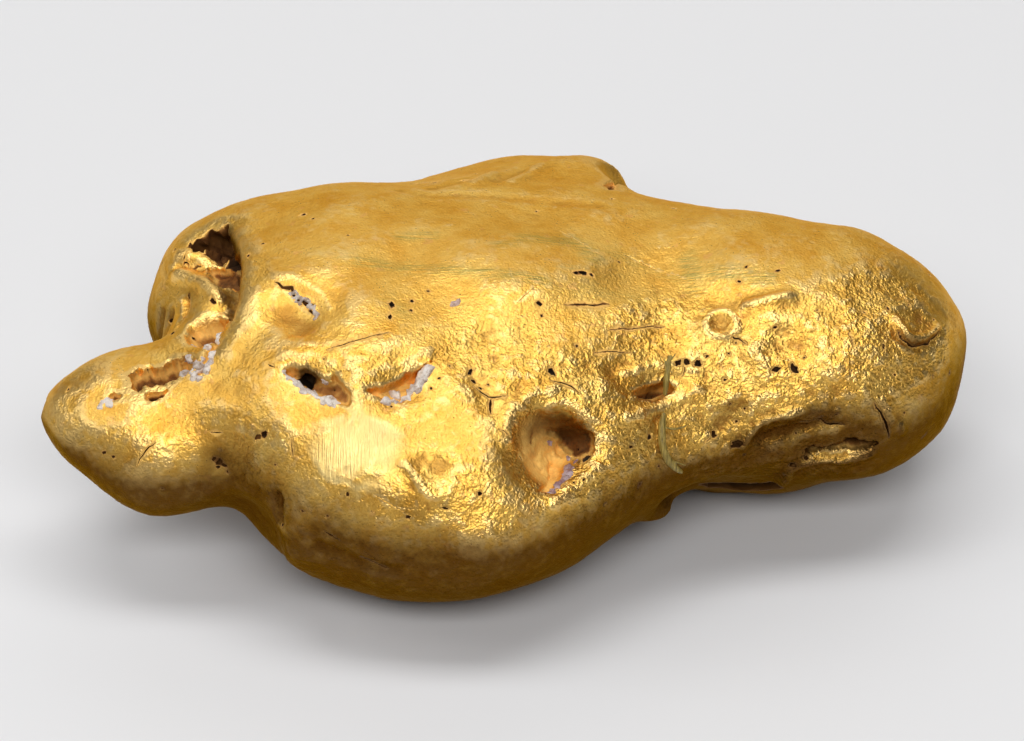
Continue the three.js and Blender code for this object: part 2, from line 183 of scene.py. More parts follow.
# Pockets worn into the skin: lining, depth, width of the wall, raggedness (mm), how the floor
# deepens along x, y and z, outline
WELLS = {
    "cleft floor": ("brown", 0.5, 0.16, 0.1, (0, 0, 0), [
        (-10.2, 1.2, 8.3), (-9.69, 1.3, 8.27), (-9.17, 0.74, 8.8), (-9, 0, 8.9),
        (-9.15, -0.16, 8.62), (-9.48, -0.3, 8.42), (-9.9, -0.07, 8.46), (-10.15, 0.6, 8.3)]),
    "cleft channel": ("brown", 0.75, 0.16, 0.08, (0.2, 0, 0), [
        (-9.33, 1.09, 8.53), (-8.95, 0.44, 9.27), (-8.82, -0.95, 9.3), (-8.83, -2.4, 9.4),
        (-9, -3.1, 9.1), (-9.4, -2.6, 8.6), (-9.45, -1.36, 8.13), (-9.4, -0.52, 8.34),
        (-9.45, 0.01, 8.57)]),
    "cleft cavity": ("rust", 0.85, 0.35, 0.06, (0.3, 0.5, 0), [
        (-10.74, -1.6, 7.9), (-10.34, -1.4, 8.12), (-9.8, -1.3, 8.2), (-9.4, -1.5, 8.2),
        (-9.2, -2.4, 8.7), (-9.4, -3, 8.7), (-9.8, -3.1, 8.45), (-10.32, -3.15, 8.12),
        (-10.76, -2.7, 7.95), (-10.88, -2.15, 7.92)]),
    "cleft strip": ("ochre", 0.3, 0.14, 0.08, (0, 0, 0), [
        (-9.76, -2.83, 8.36), (-9.49, -3.55, 8.75), (-9.81, -4.07, 8.48), (-10.1, -4.59, 8.2),
        (-10.37, -4.7, 8.04), (-10.48, -4.44, 8.09), (-10.23, -3.91, 8.26),
        (-9.99, -3.14, 8.27)]),
    "finger trench": ("brown", 0.65, 0.2, 0.2, (0, 0.4, 0), [
        (-12.62, -3.99, 7.57), (-12.35, -3.4, 7.59), (-12.15, -3.55, 7.6), (-11.94, -3.42, 7.62),
        (-11.6, -3.55, 7.7), (-11.44, -3.33, 7.73), (-11.1, -3.5, 7.85), (-10.93, -3.35, 7.91),
        (-10.67, -3.22, 7.99), (-10.37, -3.8, 8.18), (-10.48, -4.36, 8.11), (-10.88, -4.4, 7.88),
        (-11.42, -4.55, 7.7), (-11.88, -4.6, 7.58), (-12.1, -4.45, 7.55), (-12.29, -4.72, 7.52),
        (-12.5, -4.49, 7.53)]),
    "finger pit": ("dark", 0.35, 0.14, 0.1, (0, 0.3, 0), [
        (-12.08, -4.85, 7.54), (-11.75, -4.8, 7.6), (-11.28, -4.86, 7.65), (-11.4, -5.12, 7.52),
        (-11.8, -5.2, 7.43), (-12.04, -5.11, 7.47)]),
    "tip pit": ("brown", 0.28, 0.12, 0.08, (0, 0, 0), [
        (-13.37, -4.73, 7.29), (-13.17, -4.54, 7.4), (-12.76, -4.79, 7.42),
        (-12.89, -4.95, 7.34), (-13.29, -4.93, 7.24)]),
    "split pocket": ("rust", 0.5, 0.32, 0.08, (-0.6, 0.3, 0), [
        (-7.66, -5.43, 9.07), (-7.45, -5.5, 9.07), (-7.15, -5.4, 9.15), (-6.85, -5.45, 9.17),
        (-6.65, -5.42, 9.16), (-6.22, -5.76, 9.03), (-5.82, -5.96, 9.02), (-5.75, -5.78, 9.15),
        (-5.31, -6.11, 9.1), (-5.05, -6.6, 8.85), (-5.1, -7.07, 8.59), (-5.67, -6.83, 8.61),
        (-6.34, -6.4, 8.62), (-6.81, -6.09, 8.7), (-7.2, -5.8, 8.9)]),
    "wedge pocket": ("ochre", 0.5, 0.16, 0.07, (0, 0.7, 0), [
        (-4.74, -6.46, 8.91), (-4.35, -6.25, 8.9), (-3.99, -6.05, 8.88), (-3.24, -5.67, 9.01),
        (-2.74, -5.41, 9.18), (-2.36, -5.2, 9.23), (-2.84, -5.82, 8.91), (-3.1, -6.26, 8.67),
        (-3.4, -6.62, 8.55), (-3.8, -6.66, 8.58), (-4.19, -6.55, 8.72)]),
    "hollow bowl": ("ochre", 0.5, 0.95, 0.05, (0.7, 0.2, 0), [
        (0.1, -7.15, 7.8), (0.3, -6.6, 8.1), (0.85, -6.2, 8.25), (1.6, -6.1, 8.15),
        (2.2, -6.1, 7.95), (2.7, -6.25, 7.65), (3, -6.5, 7.2), (3, -6.8, 6.7),
        (2.7, -7.15, 6.35), (2.2, -7.6, 6.1), (1.9, -8.1, 6), (1.45, -8.4, 6.05),
        (1.05, -8.5, 6.3), (0.5, -8.2, 6.8), (0.2, -7.7, 7.3)]),
    "hollow deep": ("brown", 0.5, 0.25, 0.14, (0.3, 0.5, 0), [
        (1.36, -6.55, 7.25), (1.8, -6.33, 7.37), (2.4, -6.33, 7.38), (2.87, -6.5, 7.08),
        (3, -6.77, 6.7), (2.8, -6.99, 6.45), (2.34, -7, 6.37), (2.01, -6.76, 6.44),
        (1.67, -6.56, 6.72)]),
    "hollow seam": ("ochre", 0.22, 0.16, 0.08, (0, 0, 0), [
        (1.5, -6.68, 6.6), (1.87, -6.69, 6.47), (2.07, -7.02, 6.31), (2, -7.56, 6.15),
        (1.67, -8.11, 6.08), (1.27, -8.5, 6.14), (0.97, -8.49, 6.3), (1.25, -8.02, 6.27),
        (1.5, -7.33, 6.3)]),
    "oval pit": ("brown", 0.8, 0.35, 0.06, (0, 0.8, 0), [
        (4.15, -4.96, 7.69), (4.49, -4.62, 7.7), (4.89, -4.4, 7.67), (5.43, -4.3, 7.63),
        (5.83, -4.4, 7.43), (5.56, -4.58, 7.26), (4.99, -4.92, 7.19), (4.48, -5.1, 7.38)]),
    "ledge": ("dark", 0.5, 0.2, 0.14, (0, 0, 0), [
        (9.9, -4.5, 4.66), (10.4, -4.46, 4.95), (10.72, -4.44, 4.9), (11.43, -4.39, 5.1),
        (12.07, -4.31, 5.05), (12.6, -4.2, 4.9), (12.2, -4.25, 4.62), (11.6, -4.3, 4.6),
        (10.9, -4.36, 4.58), (10.4, -4.4, 4.55)]),
    "fin hook": ("dark", 0.4, 0.16, 0.08, (0, 0, 0), [
        (3.55, 6.2, 8.2), (3.85, 7, 7.6), (3.95, 6.3, 8), (3.9, 5.3, 8.45), (3.6, 4.9, 8.75),
        (3.45, 5.5, 8.6)]),
}
WELL_WINDOW = 1.8  # mm, how far above and below its outline a pocket reaches
WELL_MARGIN = 0.4  # mm, how far past its outline
OUTLINE_PACE = 2.4  # how fast the raggedness of an outline changes, per millimetre
FLOOR_PACE = 1.8  # and the unevenness of a floor
FLOOR_ROUGH = 0.35  # unevenness of a pocket's floor, as a share of its depth

# Holes that run in under the skin: lining, depth (mm), size of the floor, raggedness (mm), lean
# of the floor, outline
BORES = {
    "cleft hole": ("brown", 0.9, 0.6, 0.4, (0.25, 0.1, 0), [
        (-10.45, 2.3, 8.6), (-10.1, 2.6, 8.8), (-9.85, 2.3, 8.95), (-9.5, 2.45, 9.0),
        (-9.35, 1.9, 9.0), (-9.1, 1.2, 8.9), (-9.5, 1.35, 8.42), (-9.75, 1.2, 8.3),
        (-10.05, 1.55, 8.3), (-10.4, 1.6, 8.4), (-10.3, 1.95, 8.51)]),
    "cleft notch": ("brown", 0.5, 0.6, 0.3, (0.2, 0, 0), [
        (-10.95, 2.1, 8.35), (-10.6, 2.35, 8.55), (-10.2, 2.1, 8.7), (-10.3, 1.7, 8.45),
        (-10.7, 1.8, 8.35)]),
    "cleft step": ("dark", 0.5, 0.6, 0.25, (0.2, 0, 0), [
        (-9.5, 1.5, 8.7), (-9.1, 1.4, 8.9), (-9.05, 0.8, 8.8), (-9.35, 0.6, 8.4),
        (-9.6, 0.95, 8.2)]),
    "split bore": ("black", 0.8, 0.8, 0.16, (0, 0.3, 0), [
        (-6.85, -5.68, 8.85), (-6.68, -5.54, 8.9), (-6.45, -5.56, 8.9), (-6.28, -5.74, 8.85),
        (-6.4, -5.95, 8.75), (-6.68, -5.92, 8.75)]),
    "under slit": ("black", 0.5, 0.6, 0.2, (0, 0.1, 0), [
        (6.64, -3.93, 2.86), (7.46, -3.68, 2.69), (8.32, -3.55, 2.55), (9.16, -3.74, 2.79),
        (9.4, -3.4, 2.25), (8.6, -3.1, 1.95), (7.8, -3, 1.9), (6.9, -3.4, 2.3)]),
}

RAGGED_SIZE = 0.34  # mm, of the knocks in a bore's wall
BORE_LIFT = 0.5  # mm a bore's plug stands out of the skin
# How a bore goes down: share of its depth, size, share of its lean
BORE_STEPS = [(0.45, 0.97, 0.4), (0.35, 0.9, 0.4), (0.2, None, 0.2)]

# Crumbs and seams of quartz left in the pockets: kind, size of the lumps (mm), path.
# A seam stands for the frame's node of its name, if there is one; the rest are smaller crumbs.
QUARTZ = {
    "quartz_cleft": ("milky", 0.2, [(-9.75, -2.95, 8.35), (-9.85, -3.6, 8.5), (-10.1, -4.1, 8.3),
                                    (-10.3, -4.55, 8.1), (-10.05, -4.2, 8.3),
                                    (-9.8, -3.8, 8.5)]),
    "quartz_finger": ("milky", 0.24, [(-13.3, -4.9, 7.2), (-13.65, -5.1, 7.05)]),
    "quartz_brow": ("grey", 0.1, [(-7.19, -2.47, 9.96), (-6.88, -2.8, 9.86), (-6.6, -2.93, 9.82),
                                  (-6.4, -3.22, 9.75), (-6.3, -3.6, 9.7)]),
    "quartz_split": ("milky", 0.19, [(-7.4, -5.6, 8.92), (-7.0, -5.8, 8.72), (-6.6, -6.1, 8.55),
                                     (-6.2, -6.4, 8.45), (-5.6, -6.75, 8.5), (-6.0, -6.4, 8.5),
                                     (-6.2, -6.05, 8.6), (-6.1, -5.8, 8.8)]),
    "quartz_wedge": ("milky", 0.27, [(-4.0, -6.4, 8.6), (-3.5, -6.3, 8.55), (-3.1, -6.0, 8.65),
                                     (-2.8, -5.75, 8.85), (-2.6, -5.5, 9.0), (-2.95, -5.8, 8.8),
                                     (-3.3, -6.05, 8.65), (-3.6, -6.15, 8.6)]),
    "quartz_hollow": ("lilac", 0.21, [(1.75, -6.75, 6.6), (2.05, -6.95, 6.4), (2.0, -7.4, 6.2),
                                      (1.7, -7.9, 6.1), (1.3, -8.25, 6.15)]),
    "quartz_dot": ("pink", 0.3, [(-1.58, -2.9, 9.78), (-1.42, -2.9, 9.78)]),
    "quartz_crumb": ("lilac", 0.14, [(-9.6, -0.1, 8.25), (-9.45, -0.15, 8.3)]),
    "quartz_trench": ("grey", 0.2, [(-10.85, -3.6, 7.9), (-10.6, -4.0, 7.95),
                                    (-10.75, -4.25, 7.9)]),
    "quartz_channel": ("grey", 0.12, [(-10.6, -2.5, 7.7), (-10.3, -2.9, 7.8)]),
}
QUARTZ_SUNK = 0.48  # how deep a lump sits in the gold, as a share of its size
QUARTZ_SPACING = 0.32  # from lump to lump, as a share of their size
QUARTZ_STRAY = 0.27  # how far a lump strays from the path, as a share of its size
QUARTZ_VOXEL = 0.035  # mm
QUARTZ_KEPT = 0.3  # share of its triangles left by the last thinning

# Plant fibres caught on the gold: thickness (mm), path, and the hairs that part from it
FIBRES = {
    "fibre_upper": (0.21, [(5.5, -3.8, 8.3), (5.44, -4.0, 8.1), (5.39, -4.25, 7.8),
                           (5.35, -4.5, 7.4), (5.33, -4.6, 7.2)],
                    [[(5.44, -4.0, 8.1), (5.62, -3.85, 8.3), (5.72, -3.8, 8.42)],
                     [(5.39, -4.25, 7.8), (5.32, -4.0, 8.15), (5.3, -3.9, 8.3)]]),
    "fibre_lower": (0.27, [(5.29, -5.2, 6.95), (5.22, -5.5, 6.72), (5.2, -5.8, 6.45),
                          (5.24, -6.05, 6.12), (5.36, -6.15, 5.8), (5.6, -6.1, 5.35),
                          (5.9, -5.95, 5.0)],
                    [[(5.22, -5.55, 6.7), (5.5, -5.6, 6.5), (5.85, -5.45, 6.45),
                      (6.1, -5.25, 6.5)],
                     [(5.36, -6.15, 5.8), (5.75, -6.1, 5.5), (6.05, -5.95, 5.3)]]),
}
FIBRE_VOXEL = 0.03  # mm

# Small pits: lining, place, radius (mm)
PITS = [
    ("brown", (-9.88, -0.84, 8.3), 0.13), ("brown", (-10.91, -0.05, 7.76), 0.14),
    ("ochre", (-10.92, -0.59, 7.66), 0.15), ("brown", (-11.34, 2.36, 8.08), 0.08),
    ("brown", (-10.81, 2.19, 8.42), 0.09), ("dark", (-11.25, -1.6, 7.5), 0.12),
    ("dark", (-11.45, 0.0, 6.8), 0.1), ("black", (-9.8, -2.08, 8.17), 0.12),
    ("black", (-14.7, -3.96, 6.98), 0.055), ("black", (-13.41, -6.17, 6.01), 0.06),
    ("black", (-13.11, -6.32, 5.96), 0.05), ("black", (-9.55, -6.64, 6.0), 0.15),
    ("black", (-9.72, -6.62, 6.1), 0.1), ("black", (-9.4, -6.68, 5.9), 0.09),
    ("black", (-9.6, -6.7, 5.82), 0.08), ("black", (-8.0, -7.12, 7.58), 0.16),
    ("brown", (-8.25, -7.15, 7.45), 0.14), ("black", (-1.18, -5.51, 8.93), 0.1),
    ("dark", (-1.02, -5.8, 8.81), 0.08), ("dark", (-0.82, -6.03, 8.7), 0.06),
    ("black", (1.54, -5.16, 8.7), 0.14), ("dark", (5.77, -3.85, 8.01), 0.13),
    ("dark", (6.07, -3.82, 8.03), 0.13), ("black", (6.44, -3.82, 7.98), 0.17),
    ("dark", (9.06, -3.86, 7.76), 0.14), ("dark", (9.69, -3.88, 7.77), 0.16),
    ("dark", (7.02, -5.11, 5.98), 0.15), ("black", (7.77, -5.03, 5.48), 0.2),
    ("black", (9.71, -4.4, 4.11), 0.15), ("dark", (10.14, -4.42, 4.38), 0.1),
    ("black", (4.81, -5.95, 6.51), 0.09), ("black", (2.36, -1.3, 9.86), 0.09),
    ("black", (2.6, -1.22, 9.8), 0.13), ("black", (2.87, -1.22, 9.71), 0.08),
    ("black", (-6.87, 1.91, 9.95), 0.09), ("black", (-6.55, 1.43, 10.13), 0.06),
    ("dark", (-8.21, 0.23, 9.93), 0.06), ("dark", (-5.33, 0.15, 10.37), 0.045),
    ("black", (9.18, -0.74, 9.52), 0.08), ("dark", (8.11, -0.57, 9.56), 0.06),
    ("dark", (3.83, -0.21, 9.5), 0.05), ("black", (-3.13, -2.98, 9.96), 0.07),
    ("black", (-3.16, -3.39, 9.89), 0.05), ("dark", (-2.6, -2.47, 9.99), 0.045),
    ("dark", (-2.21, -5.84, 8.93), 0.05), ("dark", (-2.47, -6.18, 8.77), 0.05),
    ("black", (-3.79, -3.23, 10.02), 0.13), ("dark", (-3.85, -3.82, 9.93), 0.09),
    ("black", (2.6, -6.93, 6.49), 0.14), ("black", (1.12, -2.83, 9.72), 0.09),
    ("black", (1.2, -3.3, 9.6), 0.05), ("dark", (-5.2, -8.9, 6.5), 0.07),
    ("dark", (-3.2, -9.5, 6.0), 0.08), ("dark", (-2.0, -9.4, 6.3), 0.07),
    ("black", (-0.9, -8.95, 6.5), 0.09), ("dark", (4.1, -6.3, 6.4), 0.07),
]
PIT_SIZE = 0.7  # share of the listed radius that is cut
PIT_DEEP = 1.5  # how deep a pit is for its radius
PIT_SUNK = 0.4  # how far its middle is sunk, in radii
SCATTERED_PITS = 130

# Cracks: lining, half width, depth (mm), path
CRACKS = [
    ("brown", 0.06, 0.25, [(-11.1, 1.35, 8.13), (-10.9, 1.45, 8.2), (-10.71, 1.3, 8.27),
                           (-10.43, 1.19, 8.28)]),
    ("dark", 0.022, 0.12, [(-5.89, -5.1, 9.57), (-5.16, -4.94, 9.7), (-4.47, -4.69, 9.8),
                           (-3.88, -4.48, 9.81)]),
    ("dark", 0.035, 0.15, [(1.5, -5.45, 8.55), (1.87, -5.46, 8.47), (2.2, -5.55, 8.35),
                           (2.47, -5.71, 8.19)]),
    ("black", 0.05, 0.2, [(-0.48, -6.35, 8.5), (-0.5, -6.6, 8.4), (-0.47, -6.82, 8.28)]),
    ("black", 0.035, 0.15, [(1.95, -2.72, 9.59), (2.4, -2.58, 9.52), (2.9, -2.5, 9.42),
                            (3.46, -2.3, 9.31)]),
    ("black", 0.06, 0.3, [(12.41, -4.12, 6.52), (12.59, -4.17, 6.17), (12.77, -4.19, 5.75),
                          (12.93, -4.13, 5.02)]),
    ("brown", 0.035, 0.12, [(-12.29, -6.69, 5.87), (-12.08, -6.55, 6.22), (-11.88, -6.42, 6.47),
                            (-11.65, -6.34, 6.61)]),
    ("dark", 0.03, 0.1, [(-9.8, -6.28, 6.99), (-9.4, -6.42, 7.06)]),
    ("black", 0.02, 0.08, [(3.0, -4.17, 8.75), (4.19, -3.85, 8.48)]),
    ("black", 0.018, 0.08, [(3.5, -3.3, 9.05), (4.6, -3.0, 8.9), (5.3, -2.85, 8.85)]),
    ("black", 0.045, 0.2, [(13.2, -2.28, 8.1), (13.48, -2.5, 7.8), (13.9, -2.38, 7.52),
                           (14.33, -1.98, 7.42), (14.71, -1.36, 7.4)]),
    ("dark", 0.03, 0.12, [(-1.0, -5.95, 8.75), (-0.75, -6.2, 8.62), (-0.55, -6.28, 8.57),
                          (0.1, -6.2, 8.55)]),
    ("dark", 0.05, 0.2, [(-7.95, -5.3, 9.1), (-7.66, -5.43, 9.07)]),
    ("brown", 0.1, 0.2, [(-7.7, -2.1, 10.1), (-7.45, -2.3, 10.06), (-7.19, -2.45, 10.0),
                         (-6.88, -2.78, 9.88), (-6.6, -2.9, 9.86), (-6.4, -3.2, 9.78),
                         (-6.32, -3.6, 9.73)]),
    ("dark", 0.04, 0.15, [(7.3, -2.95, 8.5), (7.8, -3.0, 8.35), (8.1, -3.2, 8.2)]),
    ("dark", 0.05, 0.2, [(9.9, -4.55, 6.0), (10.6, -4.5, 5.9), (11.4, -4.4, 5.8)]),
    ("dark", 0.04, 0.16, [(-4.9, -9.55, 4.3), (-4.3, -9.7, 4.0), (-3.9, -9.75, 3.9)]),
    ("brown", 0.04, 0.16, [(-6.0, -9.2, 5.1), (-5.5, -9.35, 4.8)]),
    ("clean", 0.035, 0.035, [(1.81, 1.26, 9.76), (3.15, -0.01, 9.69)]),
    ("clean", 0.03, 0.03, [(-4.37, -9.11, 6.64), (-2.98, -9.63, 6.0)]),
    ("clean", 0.03, 0.03, [(-4.72, -9.57, 4.62), (-3.96, -9.74, 4.04)]),
    ("clean", 0.022, 0.022, [(4.0, 0.3, 9.55), (6.1, -0.8, 9.35)]),
    ("clean", 0.022, 0.022, [(0.35, -2.9, 9.75), (0.95, -2.2, 9.85)]),
]
CRACK_WIDTH = 0.9  # share of the listed half width that shows
CRACK_STEP = 0.16  # mm between the knots of a crack
SCATTERED_CRACKS = 40

# Rubs on the top, their green-grey tint a painted reflection: strength, reach (mm), path
GREEN_RUBS = [
    (0.8, 0.34, [(-4.9, -1.25, 10.3), (-2.9, -1.4, 10.1), (-0.9, -1.75, 10.2), (1.4, -1.95, 10.0)]),
    (0.3, 0.5, [(-5.4, -1.1, 10.3), (-3.2, -1.5, 10.1), (0.5, -2.0, 10.1), (4.5, -1.9, 9.4)]),
    (0.7, 0.35, [(-3.6, 0.15, 10.25), (-2.4, 0.4, 10.2)]),
    (0.6, 0.3, [(-0.4, -0.3, 10.3), (0.3, -0.1, 10.2)]),
    (0.65, 0.6, [(0.7, 0.4, 10.1), (2.3, 0.6, 9.8), (3.0, -0.3, 9.7)]),
    (0.4, 0.4, [(3.6, 0.3, 9.6), (5.2, -0.5, 9.4), (6.0, -0.9, 9.3)]),
    (0.75, 0.5, [(6.2, 0.3, 9.35), (6.3, -0.6, 9.3), (6.35, -1.5, 9.2)]),
    (0.8, 0.55, [(7.1, -0.7, 9.4), (8.0, -0.85, 9.5), (8.8, -1.1, 9.5)]),
    (0.45, 0.5, [(-3.9, -3.0, 10.0), (-3.4, -3.5, 9.9)]),
    (0.35, 0.4, [(1.9, -1.2, 9.9), (3.1, -1.2, 9.7)]),
]

# Where the skin is crumpled and glinting rather than satin: strength, reach (mm), place
CRUMPLED = [
    (0.9, 5.2, (9.5, -5.0, 6.5)), (0.8, 3.2, (13.0, -2.0, 8.0)), (0.75, 2.6, (5.5, -3.2, 8.8)),
    (0.8, 4.0, (2.5, -6.5, 7.0)), (0.6, 2.6, (-0.5, -5.0, 9.0)), (0.55, 3.2, (-2.0, -9.0, 5.5)),
    (0.6, 1.8, (-7.3, -1.5, 10.0)), (0.45, 2.4, (-5.0, -5.0, 9.5)), (0.5, 2.2, (-8.0, -7.0, 6.5)),
    (0.6, 5.0, (0.0, 8.5, 3.0)), (0.6, 5.0, (9.0, 4.5, 3.5)), (0.5, 4.0, (-10.0, 3.5, 3.5)),
    (0.5, 4.0, (-6.0, -8.5, 3.0)), (0.5, 9.0, (0.0, 0.0, 0.0)),
]
LEAST_CRUMPLED = 0.16  # the satin skin everywhere else
TOP_WORN = (9.2, 10.0, 0.75)  # mm, mm, share: the flat top is worn smoother between these heights


# ---- Small helpers --------------------------------------------------------------------------
def deselect_all():
    if bpy.context.object and bpy.context.object.mode != "OBJECT":
        bpy.ops.object.mode_set(mode="OBJECT")
    bpy.ops.object.select_all(action="DESELECT")


def activate(obj):
    deselect_all()
    obj.select_set(True)
    bpy.context.view_layer.objects.active = obj
    return obj


def apply_modifier(obj, kind, **settings):
    activate(obj)
    modifier = obj.modifiers.new(kind.lower(), kind)
    for name, value in settings.items():
        setattr(modifier, name, value)
    bpy.ops.object.modifier_apply(modifier=modifier.name)


def joined(pieces, name):
    deselect_all()
    for piece in pieces:
        piece.select_set(True)
    bpy.context.view_layer.objects.active = pieces[0]
    if len(pieces) > 1:
        bpy.ops.object.join()
    pieces[0].name = name
    return pieces[0]


def places(obj):
    coords = np.empty(len(obj.data.vertices) * 3)
    obj.data.vertices.foreach_get("co", coords)
    return coords.reshape(-1, 3)


def directions(obj):
    normals = np.empty(len(obj.data.vertices) * 3)
    obj.data.vertex_normals.foreach_get("vector", normals)
    return normals.reshape(-1, 3)


def put(obj, coords):
    obj.data.vertices.foreach_set("co", coords.ravel())
    obj.data.update()


def smooth_step(low, high, values):
    t = np.clip((values - low) / (high - low), 0, 1)
    return t * t * (3 - 2 * t)


def path_distance(points, path):
    """How far each point is from a line of straight runs."""
    path = np.asarray(path, float)
    best = np.full(len(points), 1e9)
    for start, end in zip(path[:-1], path[1:]):
        run = end - start
        along = np.clip((points - start) @ run / max(run @ run, 1e-12), 0, 1)
        best = np.minimum(best, np.linalg.norm(points - start - along[:, None] * run, axis=1))
    return best


def cloud(name, size, kind="CLOUDS", depth=2, **settings):
    """A procedural texture for a Displace modifier, its size in millimetres."""
    texture = bpy.data.textures.get(name) or bpy.data.textures.new(name, kind)
    texture.noise_scale = size
    if kind == "CLOUDS":
        texture.noise_depth = depth
    for key, value in settings.items():
        setattr(texture, key, value)
    return texture


def displace(obj, texture, strength, middle=0.5, group=""):
    apply_modifier(obj, "DISPLACE", texture=texture, strength=strength, mid_level=middle,
                   texture_coords="LOCAL", vertex_group=group)


def paint_group(obj, name, weights):
    group = obj.vertex_groups.new(name=name)
    steps = np.round(weights * 20).astype(int)
    for step in range(1, 21):
        chosen = np.nonzero(steps == step)[0]
        if len(chosen):
            group.add(chosen.tolist(), step / 20, "REPLACE")


def lined(obj, lining):
    obj.data.materials.clear()
    obj.data.materials.append(linings[lining])
    return obj


def working_copy(node, name):
    """A merged copy of a CAD node, in millimetres."""
    piece = bpy.data.objects.new(name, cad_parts[node].data.copy())
    bpy.context.scene.collection.objects.link(piece)
    piece.data.materials.clear()
    activate(piece)
    piece.scale = (WORK, WORK, WORK)
    bpy.ops.object.transform_apply(location=False, rotation=False, scale=True)
    bpy.ops.object.mode_set(mode="EDIT")
    bpy.ops.mesh.select_all(action="SELECT")
    bpy.ops.mesh.remove_doubles(threshold=0.001)
    bpy.ops.object.mode_set(mode="OBJECT")
    return piece


def to_metres(piece):
    activate(piece)
    piece.scale = (MM, MM, MM)
    bpy.ops.object.transform_apply(location=True, rotation=True, scale=True)
    return piece


linings = {name: bpy.data.materials.new("lining_" + name) for name in LININGS}


# ---- Gold: the form -------------------------------------------------------------------------
def gold_form():
    """The whole lump with the frame's facets worn away and its blunt pockets filled."""
    gold = working_copy("nugget", "gold_nugget")
    apply_modifier(gold, "REMESH", mode="VOXEL", voxel_size=FORM_VOXEL, adaptivity=0.0)
    apply_modifier(gold, "SMOOTH", factor=0.5, iterations=FORM_WEAR)
    points = places(gold)
    mend = np.zeros(len(points))
    for place, reach in MENDS:
        distance = np.linalg.norm(points - np.array(place), axis=1)
        mend = np.maximum(mend, np.clip((reach - distance) / MEND_EDGE, 0, 1))
    paint_group(gold, "mend", mend)
    apply_modifier(gold, "SMOOTH", factor=0.5, iterations=MEND_ROUNDS, vertex_group="mend")
    return gold


def crumple(points):
    """How crumpled the skin is at each point, from 0, satin, to 1."""
    amount = np.full(len(points), LEAST_CRUMPLED)
    for strength, reach, place in CRUMPLED:
        distance = np.linalg.norm(points - np.array(place), axis=1)
        amount = np.maximum(amount, strength * smooth_step(reach, 0.55 * reach, distance))
    low, high, share = TOP_WORN
    amount *= 1 - share * smooth_step(low, high, points[:, 2])
    return amount * (1 - polished(points))


def polished(points):
    corners = np.array(POLISHED)
    centre = corners.mean(axis=0)
    reach = np.linalg.norm(corners - centre, axis=1)
    across = points - centre
    distance = np.linalg.norm(across, axis=1)
    # the facet's outline, as a distance that changes round it
    angle = np.arctan2(across[:, 2] - across[:, 1], across[:, 0])
    at = corners - centre
    corner_angle = np.arctan2(at[:, 2] - at[:, 1], at[:, 0])
    order = np.argsort(corner_angle)
    edge = np.interp(angle, corner_angle[order], reach[order], period=2 * math.pi)
    edge = edge * (1 + 0.1 * np.sin(angle * 7) + 0.07 * np.sin(angle * 17 + 1))
    return smooth_step(1.3, 0.7, distance / edge)


def press_relief(gold):
    points = places(gold)
    for height, reach, path in RELIEF.values():
        near = smooth_step(reach, 0, path_distance(points, path))
        points = points + directions(gold) * (height * near)[:, None]
    centre, radius, height, reach = CRATER
    ring = np.abs(np.linalg.norm(points - np.array(centre), axis=1) - radius)
    points = points + directions(gold) * (height * smooth_step(reach, 0, ring))[:, None]
    # wear the brushed facet towards its own plane
    corners = np.array(POLISHED)
    middle = corners.mean(axis=0)
    across = np.linalg.svd(corners - middle)[2][2]
    above = (points - middle) @ across
    points = points - across * (above * POLISH_FLAT * polished(points))[:, None]
    put(gold, points)


class Pocket:
    """The outline of a pocket, laid flat on the skin the pocket is sunk into."""

    def __init__(self, skin, lining, depth, wall, ragged, deepens, rim):
        self.tone = LININGS[lining]
        self.depth = depth
        self.wall = wall
        self.ragged = ragged
        self.deepens = np.array(deepens)
        self.outward = np.array(outward_of(skin, rim))
        self.middle = np.mean(rim, axis=0)
        side = np.array(rim[0]) - self.middle
        side -= self.outward * (side @ self.outward)
        self.across = side / np.linalg.norm(side)
        self.along = np.cross(self.outward, self.across)
        self.outline = self.laid_flat(np.array(rim))
        self.reach = np.linalg.norm(self.outline, axis=1).max()

    def laid_flat(self, points):
        away = points - self.middle
        return np.stack([away @ self.across, away @ self.along], axis=1)

    def over(self, points):
        """Which points lie above or below the pocket."""
        height = (points - self.middle) @ self.outward
        aside = np.linalg.norm(self.laid_flat(points), axis=1)
        return np.nonzero((aside < self.reach + WELL_MARGIN) & (np.abs(height) < WELL_WINDOW))[0]

    def inset(self, points):
        """How far inside the outline each point lies, in millimetres; below 0 outside it."""
        spots = self.laid_flat(points)
        distance = path_distance(spots, np.vstack([self.outline, self.outline[:1]]))
        inside = np.zeros(len(spots), bool)
        for start, end in zip(self.outline, np.roll(self.outline, -1, axis=0)):
            crosses = (start[1] > spots[:, 1]) != (end[1] > spots[:, 1])
            slant = (end[0] - start[0]) / ((end[1] - start[1]) or 1)
            inside ^= crosses & (spots[:, 0] < start[0] + (spots[:, 1] - start[1]) * slant)
        return np.where(inside, distance, -distance) + self.ragged * self.wander(spots, OUTLINE_PACE)

    def wander(self, spots, pace):
        """Noise over the outline's plane, from about -1 to 1."""
        return np.array([noise.fractal((x * pace, y * pace, self.depth), 0.8, 2.2, 3)
                         for x, y in spots])

    def press(self, points):
        over = self.over(points)
        near = points[over]
        deep = self.depth * smooth_step(0, self.wall, self.inset(near))
        deep *= 1 + (near - self.middle) @ self.deepens / self.reach
        deep *= 1 + FLOOR_ROUGH * self.wander(self.laid_flat(near), FLOOR_PACE)
        points[over] -= self.outward * np.maximum(deep, 0)[:, None]

    def tones(self, points, tones):
        over = self.over(points)
        inside = smooth_step(0, 0.8 * self.wall + 0.06, self.inset(points[over]))
        tones[over] = np.maximum(tones[over], self.tone * inside)


